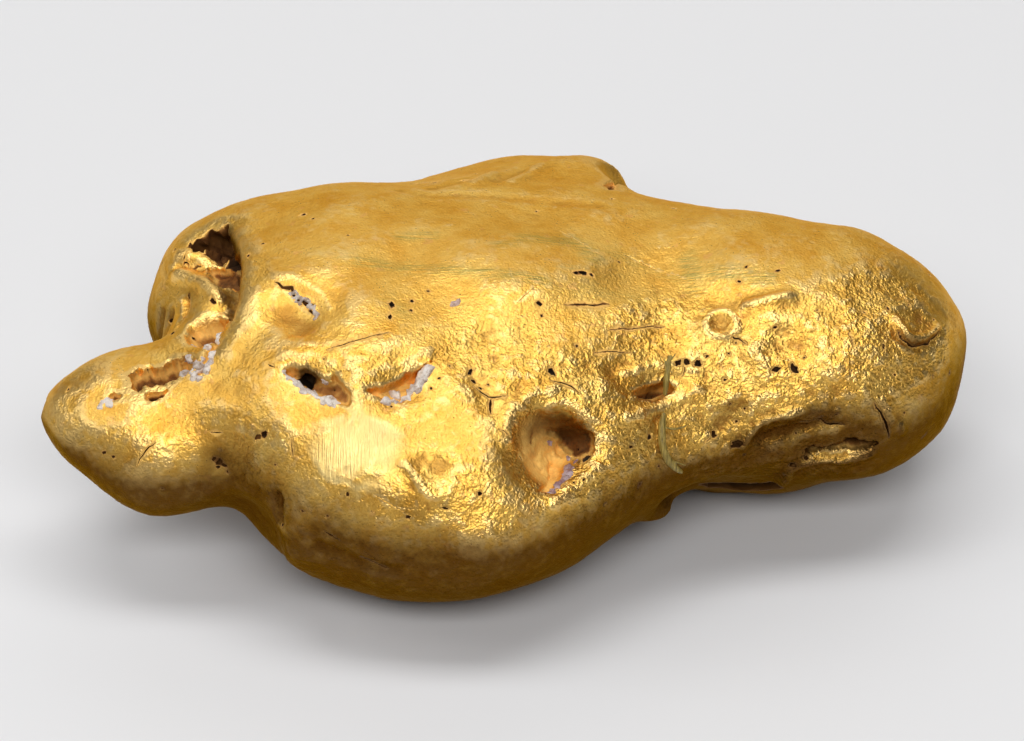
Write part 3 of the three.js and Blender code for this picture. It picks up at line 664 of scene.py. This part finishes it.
def keep_inside_frame(gold):
    """Nothing stands out of the frame's own box."""
    low, high = (np.array(corner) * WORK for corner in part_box("nugget"))
    put(gold, np.clip(places(gold), low + 0.01 * np.array([1, 1, 0]), high - 0.01))


def press_marks(gold, marks):
    for name, (size, strength, middle, group, settings) in marks.items():
        displace(gold, cloud(name, size, **settings), strength, middle, group)


def roughen(gold, pockets):
    """Swells and hammer marks, crumpling where the skin is crumpled, and the pockets."""
    rough = crumple(places(gold))
    paint_group(gold, "rough", rough)
    paint_group(gold, "worn", np.clip(0.3 + 0.7 * rough, 0, 1) * (1 - polished(places(gold))))
    press_marks(gold, BROAD_MARKS)
    apply_modifier(gold, "SUBSURF", levels=1, render_levels=1)
    points = places(gold)
    for pocket in pockets:
        pocket.press(points)
    put(gold, points)
    press_marks(gold, FINE_MARKS)
    keep_inside_frame(gold)
    apply_modifier(gold, "TRIANGULATE")
    apply_modifier(gold, "DECIMATE", ratio=GOLD_TRIANGLES / len(gold.data.polygons))
    gold.vertex_groups.clear()


# ---- Gold: what is cut into it --------------------------------------------------------------
def skin_of(obj):
    points = [vertex.co.copy() for vertex in obj.data.vertices]
    return BVHTree.FromPolygons(points, [tuple(face.vertices) for face in obj.data.polygons])


def on_skin(skin, place):
    at, outward, _, _ = skin.find_nearest(Vector(place))
    return at, outward


def outward_of(skin, rim):
    total = Vector()
    for place in rim:
        total += on_skin(skin, place)[1]
    return total.normalized()


def bore_cutter(skin, name, lining, depth, floor, ragged, lean, rim):
    """A ragged plug whose outline at the skin is the rim, narrowing to a leaning floor."""
    outward = outward_of(skin, rim)
    rim = [on_skin(skin, place)[0] for place in rim]
    middle = sum(rim, Vector()) / len(rim)
    deselect_all()
    bpy.ops.mesh.primitive_circle_add(vertices=len(rim), radius=1, fill_type="NGON")
    plug = bpy.context.object
    plug.name = name
    put(plug, np.array([tuple(place + outward * BORE_LIFT) for place in rim]))
    bpy.ops.object.mode_set(mode="EDIT")
    bpy.ops.mesh.select_all(action="SELECT")
    steps = [(BORE_LIFT, 1.0, 0.0)]
    steps += [(down * depth, size or floor, share) for down, size, share in BORE_STEPS]
    for down, size, share in steps:
        shift = Vector(lean) * share - outward * down
        middle = middle + shift
        bpy.ops.mesh.extrude_region_move(TRANSFORM_OT_translate={"value": shift})
        bpy.ops.transform.resize(value=(size, size, size), center_override=middle)
    bpy.ops.mesh.select_all(action="SELECT")
    bpy.ops.mesh.quads_convert_to_tris()
    bpy.ops.mesh.normals_make_consistent(inside=False)
    bpy.ops.mesh.subdivide(number_cuts=3)
    bpy.ops.object.mode_set(mode="OBJECT")
    displace(plug, cloud("ragged", RAGGED_SIZE, depth=3), ragged)
    return lined(plug, lining)


def pit_cutter(skin, lining, place, radius):
    at, outward = on_skin(skin, place)
    deselect_all()
    bpy.ops.mesh.primitive_ico_sphere_add(subdivisions=2, radius=1)
    pit = bpy.context.object
    stretch = 1 + rng.uniform(0.1, 1.0)
    turn = Matrix.Rotation(rng.uniform(0, math.pi), 4, "Z")
    radius = PIT_SIZE * radius
    size = Matrix.Diagonal((radius * stretch, radius, radius * PIT_DEEP, 1))
    lie = outward.to_track_quat("Z", "Y").to_matrix().to_4x4()
    knocks = 1 + rng.uniform(-0.35, 0.3, len(pit.data.vertices))
    put(pit, places(pit) * knocks[:, None])
    pit.data.transform(Matrix.Translation(at - outward * radius * PIT_SUNK) @ lie @ turn @ size)
    return lined(pit, lining)


def crack_cutter(skin, lining, half_width, depth, path):
    """A blade along the path, drawn as a tapering wire and pressed deeper; a clean one is even."""
    ragged = lining != "clean"
    knots = []
    for start, end in zip(path[:-1], path[1:]):
        run = Vector(end) - Vector(start)
        count = max(2, int(run.length / CRACK_STEP))
        for step in range(count):
            wander = Vector(rng.normal(0, 0.35 * half_width + 0.006, 3)) if ragged else Vector()
            knots.append(on_skin(skin, Vector(start) + run * (step / count) + wander)[0])
    knots.append(on_skin(skin, path[-1])[0])
    curve = bpy.data.curves.new("crack", "CURVE")
    curve.dimensions = "3D"
    curve.bevel_depth = CRACK_WIDTH * half_width
    curve.bevel_resolution = 0
    curve.use_fill_caps = True
    spline = curve.splines.new("POLY")
    spline.points.add(len(knots) - 1)
    for index, (point, knot) in enumerate(zip(spline.points, knots)):
        point.co = (*knot, 1)
        along = index / (len(knots) - 1)
        point.radius = min(1, 0.15 + 3.5 * along, 0.15 + 3.5 * (1 - along))
        if ragged:
            point.radius *= rng.uniform(0.75, 1.25)
    blade = bpy.data.objects.new("crack", curve)
    bpy.context.scene.collection.objects.link(blade)
    activate(blade)
    bpy.ops.object.convert(target="MESH")
    blade = bpy.context.object
    bpy.ops.object.mode_set(mode="EDIT")
    bpy.ops.mesh.select_all(action="SELECT")
    bpy.ops.mesh.remove_doubles(threshold=1e-5)
    bpy.ops.mesh.quads_convert_to_tris()
    bpy.ops.mesh.normals_make_consistent(inside=False)
    bpy.ops.object.mode_set(mode="OBJECT")
    points = places(blade)
    for index, point in enumerate(points):
        at, outward = on_skin(skin, point)
        sunk = (Vector(point) - at).dot(outward)
        if sunk < 0:
            points[index] += np.array(outward * sunk * (depth / (CRACK_WIDTH * half_width) - 1))
    put(blade, points)
    return lined(blade, lining)


def cut(gold, cutter):
    apply_modifier(gold, "BOOLEAN", operation="DIFFERENCE", object=cutter, solver="MANIFOLD",
                   material_mode="TRANSFER")
    bpy.data.objects.remove(cutter)


def scattered(skin, points, count, low, high):
    """Places picked at random over the skin, most of them on its rougher parts."""
    chance = crumple(points) + 0.08
    picks = rng.choice(len(points), size=count, replace=False, p=chance / chance.sum())
    return [(tuple(points[index]), rng.uniform(low, high)) for index in picks]


def cut_holes(gold):
    skin = skin_of(gold)
    points = places(gold)
    for name, bore in BORES.items():
        cut(gold, bore_cutter(skin, name, *bore))
    pits = [pit_cutter(skin, *pit) for pit in PITS]
    for place, radius in scattered(skin, points, SCATTERED_PITS, 0.025, 0.06):
        pits.append(pit_cutter(skin, "dark" if rng.random() < 0.6 else "black", place, radius))
    cut(gold, joined(pits, "pits"))


def cut_cracks(gold):
    skin = skin_of(gold)
    points = places(gold)
    cracks = [crack_cutter(skin, *crack) for crack in CRACKS]
    for place, length in scattered(skin, points, SCATTERED_CRACKS, 0.25, 0.7):
        across = Vector(rng.normal(0, 1, 3)).cross(on_skin(skin, place)[1]).normalized()
        end = tuple(Vector(place) + across * length)
        cracks.append(crack_cutter(skin, "dark", 0.02, 0.09, [place, end]))
    cut(gold, joined(cracks, "cracks"))


# ---- Gold: what its finish follows ----------------------------------------------------------
def lining_tones(gold):
    """Each corner's lining: 0 on the skin, the lining's own tone inside a cut."""
    names = [slot.name.replace("lining_", "") for slot in gold.data.materials]
    tone = np.array([LININGS[name] for name in names])
    kinds = np.empty(len(gold.data.polygons), dtype=np.int32)
    gold.data.polygons.foreach_get("material_index", kinds)
    corners = np.empty(len(gold.data.polygons), dtype=np.int32)
    gold.data.polygons.foreach_get("loop_total", corners)
    loops = np.empty(len(gold.data.loops), dtype=np.int32)
    gold.data.loops.foreach_get("vertex_index", loops)
    total = np.bincount(loops, np.repeat(tone[kinds], corners), len(gold.data.vertices))
    return total / np.maximum(np.bincount(loops, minlength=len(gold.data.vertices)), 1)


def wear_rims(gold):
    """Round the lips of the holes, as tumbling in gravel has."""
    tone = lining_tones(gold)
    tones = np.zeros((len(tone), 3))
    tones[:, 0] = tone > 0
    near = settled(tones, edge_ends(gold), 3)[:, 0]
    paint_group(gold, "rim", np.clip(1 - np.abs(near - 0.5) * 2.4, 0, 1))
    apply_modifier(gold, "SMOOTH", factor=0.5, iterations=RIM_WEAR, vertex_group="rim")
    gold.vertex_groups.clear()


def edge_ends(obj):
    edges = np.empty(len(obj.data.edges) * 2, dtype=np.int32)
    obj.data.edges.foreach_get("vertices", edges)
    return edges.reshape(-1, 2)


def settled(points, edges, rounds):
    """The points after sliding to the middle of their neighbours a number of times."""
    count = np.bincount(edges.ravel(), minlength=len(points)).astype(float)[:, None]
    for _ in range(rounds):
        total = np.zeros_like(points)
        for axis in range(points.shape[1]):
            total[:, axis] = np.bincount(edges[:, 0], points[edges[:, 1], axis], len(points))
            total[:, axis] += np.bincount(edges[:, 1], points[edges[:, 0], axis], len(points))
        points = (1 - SLIDE) * points + SLIDE * total / count
    return points


def store(obj, name, values):
    layer = obj.data.attributes.new(name, "FLOAT", "POINT")
    layer.data.foreach_set("value", np.ascontiguousarray(values, dtype=np.float32))


def store_finish(gold, pockets):
    """Attributes: how deep in a hollow, how crumpled, how polished, how green, how lined, and how
    far the skin faces down for the painted underside shade.
    """
    points = places(gold)
    normals = directions(gold)
    edges = edge_ends(gold)
    near = settled(points, edges, NEAR[0])
    wide = settled(near, edges, WIDE[0])
    fine = ((near - points) * normals).sum(axis=1)
    broad = ((wide - points) * normals).sum(axis=1)
    store(gold, "nook", np.clip(0.5 + fine / NEAR[1], 0, 1))
    store(gold, "hollow", np.clip(0.5 + broad / WIDE[1], 0, 1))
    store(gold, "crumple", crumple(points))
    store(gold, "polish", polished(points))
    green = np.zeros(len(points))
    for strength, reach, path in GREEN_RUBS:
        rub = strength * smooth_step(reach, 0.3 * reach, path_distance(points, path))
        green = np.maximum(green, rub)
    store(gold, "rubbed", green)
    tones = lining_tones(gold)
    for pocket in pockets:
        pocket.tones(points, tones)
    tone = np.zeros((len(points), 3))
    tone[:, 0] = tones
    store(gold, "lining", np.maximum(settled(tone, edges, 1)[:, 0], tones))
    # painted shade: where the skin faces down it is darkened, standing in for the shade and dark
    # reflections under the nugget
    facing_up = settled(normals, edges, FACING_ROUNDS)[:, 2]
    store(gold, "under", smooth_step(*PAINTED_UNDERSIDE_SHADE, facing_up))
    kinds = np.zeros(len(gold.data.polygons), dtype=np.int32)
    gold.data.materials.clear()
    gold.data.polygons.foreach_set("material_index", kinds)


gold = gold_form()
press_relief(gold)
bare_skin = skin_of(gold)
pockets = [Pocket(bare_skin, *well) for well in WELLS.values()]
roughen(gold, pockets)
gold.data.materials.append(linings["clean"])
cut_holes(gold)
apply_modifier(gold, "TRIANGULATE")
wear_rims(gold)
cut_cracks(gold)
apply_modifier(gold, "TRIANGULATE")
keep_inside_frame(gold)
store_finish(gold, pockets)


# ---- Quartz and fibres ----------------------------------------------------------------------
def wire(path, radius, ends=1.0):
    """A round wire along a path, its ends drawn down to a share of its radius."""
    curve = bpy.data.curves.new("wire", "CURVE")
    curve.dimensions = "3D"
    curve.bevel_depth = radius
    curve.bevel_resolution = 3
    curve.use_fill_caps = True
    spline = curve.splines.new("NURBS")
    spline.points.add(len(path) - 1)
    spline.order_u = min(4, len(path))
    spline.use_endpoint_u = True
    spline.resolution_u = 10
    for index, (point, place) in enumerate(zip(spline.points, path)):
        point.co = (*place, 1)
        tip = index in (0, len(path) - 1)
        point.radius = ends if tip else 1.0
    rod = bpy.data.objects.new("wire", curve)
    bpy.context.scene.collection.objects.link(rod)
    activate(rod)
    bpy.ops.object.convert(target="MESH")
    return bpy.context.object


def chunk(place, size):
    """A broken lump: the hull of a few points thrown round its middle."""
    deselect_all()
    bpy.ops.mesh.primitive_ico_sphere_add(subdivisions=1, radius=1)
    lump = bpy.context.object
    thrown = places(lump) * rng.uniform(0.5, 1.25, (len(lump.data.vertices), 1))
    put(lump, np.array(place) + thrown * size * rng.uniform(0.7, 1.15, 3))
    bpy.ops.object.mode_set(mode="EDIT")
    bpy.ops.mesh.select_all(action="SELECT")
    bpy.ops.mesh.convex_hull()
    bpy.ops.object.mode_set(mode="OBJECT")
    return lump


def quartz_piece(gold, skin, name, size, path):
    """Broken quartz crusting the skin along a path, trimmed to the metal round it."""
    lumps = []
    for start, end in zip(path[:-1], path[1:]):
        run = Vector(end) - Vector(start)
        count = max(2, round(run.length / (QUARTZ_SPACING * size)))
        for step in range(count):
            stray = Vector(rng.normal(0, QUARTZ_STRAY * size, 3))
            at, outward = on_skin(skin, Vector(start) + run * (step / count) + stray)
            lumps.append(chunk(at - outward * QUARTZ_SUNK * size, size))
    piece = joined(lumps, name)
    apply_modifier(piece, "REMESH", mode="VOXEL", voxel_size=QUARTZ_VOXEL, adaptivity=0.0)
    apply_modifier(piece, "SMOOTH", factor=0.5, iterations=3)
    displace(piece, cloud("chips", 0.12), 0.04)
    apply_modifier(piece, "TRIANGULATE")
    apply_modifier(piece, "DECIMATE", ratio=QUARTZ_KEPT)
    apply_modifier(piece, "BOOLEAN", operation="DIFFERENCE", object=gold, solver="MANIFOLD")
    apply_modifier(piece, "TRIANGULATE")
    return piece


def piece_name(node):
    """The piece for quartz_cleft is cleft_quartz, and so on."""
    kind, place = node.split("_")
    return f"{place}_{kind}"


def fibre_piece(name, thickness, path, hairs):
    rods = [wire(path, thickness / 2, 0.55)]
    rods += [wire(hair, thickness * 0.2, 0.3) for hair in hairs]
    piece = joined(rods, name)
    apply_modifier(piece, "REMESH", mode="VOXEL", voxel_size=FIBRE_VOXEL, adaptivity=0.0)
    displace(piece, cloud("fibrous", 0.12), 0.03)
    apply_modifier(piece, "SMOOTH", factor=0.5, iterations=2)
    return piece


worn_skin = skin_of(gold)
quartz = {node: quartz_piece(gold, worn_skin, piece_name(node), size, path)
          for node, (_, size, path) in QUARTZ.items()}
fibres = {name: fibre_piece(name, *spec) for name, spec in FIBRES.items()}


# ---- Finishes -------------------------------------------------------------------------------
class Tone:
    """A number that changes over a surface; arithmetic on it adds Math nodes."""

    def __init__(self, finish, socket):
        self.finish = finish
        self.socket = socket

    def maths(self, operation, *others):
        inputs = dict(enumerate((self, *others)))
        return self.finish.node("ShaderNodeMath", {"operation": operation}, inputs)

    def __add__(self, other):
        return self.maths("ADD", other)

    def __radd__(self, other):
        return self.maths("ADD", other)

    def __mul__(self, other):
        return self.maths("MULTIPLY", other)

    def __rmul__(self, other):
        return self.maths("MULTIPLY", other)

    def __sub__(self, other):
        return self.maths("SUBTRACT", other)

    def __rsub__(self, other):
        return self.finish.node("ShaderNodeMath", {"operation": "SUBTRACT"}, {0: other, 1: self})

    def clipped(self):
        return self.finish.node("ShaderNodeClamp", {}, {0: self})

    def between(self, low, high):
        """0 at low, 1 at high, smooth in between; low may be the higher."""
        settings = {"interpolation_type": "SMOOTHSTEP"}
        if low < high:
            return self.finish.node("ShaderNodeMapRange", settings, {0: self, 1: low, 2: high})
        return 1 - self.finish.node("ShaderNodeMapRange", settings, {0: self, 1: high, 2: low})


class Finish:
    """A material under construction."""

    def __init__(self, name):
        self.material = bpy.data.materials.new(name)
        self.material.use_nodes = True
        self.tree = self.material.node_tree
        self.shader = self.tree.nodes["Principled BSDF"]
        place = self.node("ShaderNodeTexCoord", {}, {}, "Object")
        self.place = self.node("ShaderNodeVectorMath", {"operation": "SCALE"},
                               {0: place, "Scale": WORK})

    def node(self, kind, settings, inputs, output=0):
        made = self.tree.nodes.new(kind)
        for key, value in settings.items():
            if key == "stops":
                self.set_stops(made, value)
            else:
                setattr(made, key, value)
        for key, value in inputs.items():
            if isinstance(value, Tone):
                self.tree.links.new(value.socket, made.inputs[key])
            else:
                made.inputs[key].default_value = value
        return Tone(self, made.outputs[output])

    def set_stops(self, ramp, stops):
        elements = ramp.color_ramp.elements
        while len(elements) < len(stops):
            elements.new(1.0)
        for element, (position, colour) in zip(elements, stops):
            element.position = position
            element.color = (*colour, 1)

    def attribute(self, name):
        return self.node("ShaderNodeAttribute", {"attribute_name": name}, {}, "Fac")

    def stretched(self, x, y, z):
        return self.node("ShaderNodeVectorMath", {"operation": "MULTIPLY"},
                         {0: self.place, 1: (x, y, z)})

    def noise(self, scale, detail=4.0, rough=0.55, warp=0.0, place=None):
        return self.node("ShaderNodeTexNoise", {}, {
            "Vector": place or self.place, "Scale": scale, "Detail": detail,
            "Roughness": rough, "Distortion": warp}, "Fac")

    def cells(self, scale):
        return self.node("ShaderNodeTexVoronoi", {}, {"Vector": self.place, "Scale": scale},
                         "Distance")

    def ramp(self, tone, stops):
        return self.node("ShaderNodeValToRGB", {"stops": stops}, {0: tone}, "Color")

    def mix(self, amount, under, over):
        """Two colours mixed; a plain colour may stand for either."""
        under, over = ((*c, 1) if isinstance(c, tuple) else c for c in (under, over))
        return self.node("ShaderNodeMix", {"data_type": "RGBA"}, {0: amount, 6: under, 7: over}, 2)

    def bump(self, height):
        """The surface raised by a height in millimetres."""
        return self.node("ShaderNodeBump", {}, {"Strength": 1.0, "Distance": MM, "Height": height})

    def feed(self, **sockets):
        for name, value in sockets.items():
            socket = self.shader.inputs[name.replace("_", " ")]
            if isinstance(value, Tone):
                self.tree.links.new(value.socket, socket)
            else:
                socket.default_value = value
        return self.material


def native_gold():
    finish = Finish("native_gold")
    crumpled = finish.attribute("crumple")
    polish = finish.attribute("polish")
    nook = finish.attribute("nook")
    hollow = finish.attribute("hollow")
    lining = finish.attribute("lining")
    rubbed = finish.attribute("rubbed")

    # relief finer than the mesh, in millimetres
    grain = finish.noise(13.0, 1.5)
    foil = finish.noise(2.8, 2.5, 0.5, 0.4)
    leaf = finish.noise(6.5, 1.5, 0.5, 0.3)
    facets = finish.cells(3.6)
    pocks = finish.cells(7.5)
    creases = nook.between(0.6, 0.9)
    cast = finish.noise(0.9, 3.0)
    brushed = finish.noise(1.0, 3.0, 0.6, 0.0, finish.stretched(16.0, 1.2, 1.2))
    rubs = finish.noise(1.0, 3.0, 0.6, 0.0, finish.stretched(0.8, 14.0, 6.0))
    height = grain * (0.015 + 0.013 * crumpled) + leaf * (0.014 + 0.032 * crumpled)
    height = height + foil * (0.012 + 0.045 * crumpled)
    height = height + facets * (0.006 + 0.022 * crumpled) + pocks * (0.004 + 0.018 * crumpled)
    height = height * (1 - 0.9 * polish) * (1 - 0.6 * lining.between(0.1, 0.3))
    height = height + brushed * polish * 0.03 + rubs * rubbed * 0.02

    # colour: rich gold, paler and redder in places, with painted shade in the nooks, hollows and
    # creases
    gold_tone = finish.ramp(cast * 0.7 + grain * 0.3, [
        (0.3, (0.80, 0.40, 0.055)), (0.5, (0.90, 0.53, 0.105)), (0.7, (0.96, 0.64, 0.17))])
    peach = finish.noise(1.7, 2.0).between(0.64, 0.74) * (1 - polish)
    colour = finish.mix(0.5 * peach, gold_tone, (0.90, 0.48, 0.16))
    burnish = nook.between(0.46, 0.2) * (1 - lining).clipped()
    colour = finish.mix(burnish * 0.55, colour, (1.0, 0.72, 0.30))
    colour = finish.mix(polish * 0.7, colour, (0.97, 0.78, 0.34))
    # the rubs are real marks; their green-grey tint is a painted reflection
    green = (rubbed * (0.1 + 3.4 * (rubs - 0.4))).clipped()
    colour = finish.mix(green, colour, (0.36, 0.33, 0.10))
    # black specks: painted shade of pinholes too small to cut into the mesh
    specks = finish.cells(6.5).between(0.17, 0.08) * finish.noise(1.1, 2.0).between(0.5, 0.6)
    # painted shade: nooks, hollows, creases and the low spots of the foil are darkened to a
    # red-brown
    painted_recess_shade = nook.between(0.55, 0.85) * 0.45 + hollow.between(0.58, 0.9) * 0.4
    low_spots = (0.62 * foil + 0.38 * facets).between(0.44, 0.3)
    painted_recess_shade = painted_recess_shade + creases * 0.35 * crumpled + low_spots * (0.1 + 0.45 * crumpled)
    painted_recess_shade = (painted_recess_shade * (0.55 + 0.9 * finish.noise(2.6, 3.0))).clipped() * (1 - polish * 0.8)
    colour = finish.mix(painted_recess_shade * 0.8, colour, (0.42, 0.19, 0.035))
    black = specks * (1 - polish)
    colour = finish.mix(black * 0.85, colour, (0.05, 0.03, 0.015))
    # walls of the cuts: stains and soil in the lighter linings, painted shade in the darkest ones
    walls = finish.ramp((lining + (foil - 0.5) * 0.3).clipped(), [
        (0.0, (0.88, 0.54, 0.12)), (0.32, (0.92, 0.54, 0.14)), (0.46, (0.34, 0.14, 0.035)),
        (0.6, (0.10, 0.036, 0.012)), (0.78, (0.05, 0.02, 0.01)), (1.0, (0.012, 0.01, 0.009))])
    lined_here = lining.between(0.03, 0.25)
    colour = finish.mix(lined_here, colour, walls)
    # painted shade: the skin facing down is darkened towards a near-black brown
    under = finish.attribute("under") * (0.85 + 0.3 * foil)
    colour = finish.mix(under.clipped() * 0.95, colour, (0.085, 0.03, 0.004))

    rough = 0.48 - 0.09 * crumpled + (grain - 0.5) * 0.25 + green * 0.06
    rough = rough + 0.04 * polish + painted_recess_shade * 0.15 + lined_here * 0.2 - burnish * 0.06
    metal = 1 - black * 0.8 - lining.between(0.08, 0.3) * 0.8
    return finish.feed(Base_Color=colour, Metallic=metal.clipped(), Roughness=rough.clipped(),
                       Specular_Tint=(1.0, 0.70, 0.32, 1), Normal=finish.bump(height))


def broken_quartz(name, pale, stain):
    """Milky quartz with stains in its cracks."""
    finish = Finish(name)
    cloudy = finish.noise(3.0, 4.0, 0.6)
    veins = finish.noise(6.0, 5.0, 0.7)
    colour = finish.mix(cloudy.between(0.42, 0.62) * 0.9, pale, stain)
    colour = finish.mix(veins.between(0.54, 0.66) * 0.6, colour, (0.30, 0.17, 0.07))
    height = veins * 0.05
    return finish.feed(Base_Color=colour, Roughness=(0.3 + 0.4 * veins), Coat_Weight=0.25,
                       Coat_Roughness=0.15, Normal=finish.bump(height))


def plant_fibre():
    finish = Finish("plant_fibre")
    strands = finish.noise(1.0, 4.0, 0.6, 0.0, finish.stretched(24.0, 3.0, 3.0))
    colour = finish.ramp(strands, [
        (0.3, (0.10, 0.07, 0.01)), (0.5, (0.26, 0.18, 0.03)), (0.7, (0.46, 0.34, 0.08))])
    return finish.feed(Base_Color=colour, Roughness=(0.35 + 0.3 * strands),
                       Normal=finish.bump(strands * 0.03))


def hand_over(piece, finish, edge, node):
    """Finish a piece; edges sharper than an angle stay sharp, and it may stand for a node."""
    piece.data.materials.clear()
    piece.data.materials.append(finish)
    to_metres(piece)
    bpy.ops.object.shade_smooth_by_angle(angle=math.radians(edge))
    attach(piece, "root")
    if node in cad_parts:
        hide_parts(node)


quartz_kinds = {
    "milky": broken_quartz("milky_quartz", (0.80, 0.72, 0.64), (0.52, 0.42, 0.36)),
    "grey": broken_quartz("grey_quartz", (0.60, 0.52, 0.45), (0.36, 0.26, 0.20)),
    "lilac": broken_quartz("lilac_quartz", (0.46, 0.35, 0.37), (0.20, 0.09, 0.11)),
    "pink": broken_quartz("pink_quartz", (0.60, 0.42, 0.36), (0.42, 0.27, 0.22)),
}
hand_over(gold, native_gold(), 50, "nugget")
for node, piece in quartz.items():
    hand_over(piece, quartz_kinds[QUARTZ[node][0]], 25, node)
fibre_finish = plant_fibre()
for piece in fibres.values():
    hand_over(piece, fibre_finish, 180, None)


# ---- Floor, light and camera ----------------------------------------------------------------
def plain_material(name, colour, roughness):
    material = bpy.data.materials.new(name)
    material.use_nodes = True
    shader = material.node_tree.nodes["Principled BSDF"]
    shader.inputs["Base Color"].default_value = (*colour, 1)
    shader.inputs["Roughness"].default_value = roughness
    return material


def lay_floor():
    deselect_all()
    bpy.ops.mesh.primitive_plane_add(size=2.0, location=(0, 0, cad_box[0][2]))
    floor = bpy.context.object
    floor.name = "floor"
    floor.data.materials.append(plain_material("pale_floor", (0.8, 0.8, 0.81), 0.6))


def add_softbox(name, place, size, power):
    deselect_all()
    bpy.ops.object.light_add(type="AREA", location=place)
    light = bpy.context.object
    light.name = name
    light.data.shape = "RECTANGLE"
    light.data.size, light.data.size_y = size
    light.data.energy = power
    light.rotation_euler = (Vector(place) - Vector(SOFTBOX_AIM)).to_track_quat("Z", "Y").to_euler()


def light_studio():
    world = bpy.data.worlds.new("studio")
    bpy.context.scene.world = world
    world.use_nodes = True
    world.node_tree.nodes["Background"].inputs["Color"].default_value = (1.0, 0.97, 0.93, 1)
    world.node_tree.nodes["Background"].inputs["Strength"].default_value = 0.09
    for name, softbox in SOFTBOXES.items():
        add_softbox(name, *softbox)
    bpy.context.scene.view_settings.view_transform = "Standard"


def place_camera():
    back = Vector((0, -math.cos(VIEW_ELEVATION), math.sin(VIEW_ELEVATION)))
    target = Vector(VIEW_TARGET) * MM
    camera = bpy.data.cameras.new("camera")
    camera.lens = VIEW_LENS
    camera.sensor_width = 36.0
    camera.clip_start = 0.01
    holder = bpy.data.objects.new("camera", camera)
    holder.location = target + back * VIEW_DISTANCE * MM
    holder.rotation_euler = back.to_track_quat("Z", "Y").to_euler()
    bpy.context.scene.collection.objects.link(holder)
    bpy.context.scene.camera = holder


lay_floor()
light_studio()
place_camera()

bpy.context.view_layer.update()
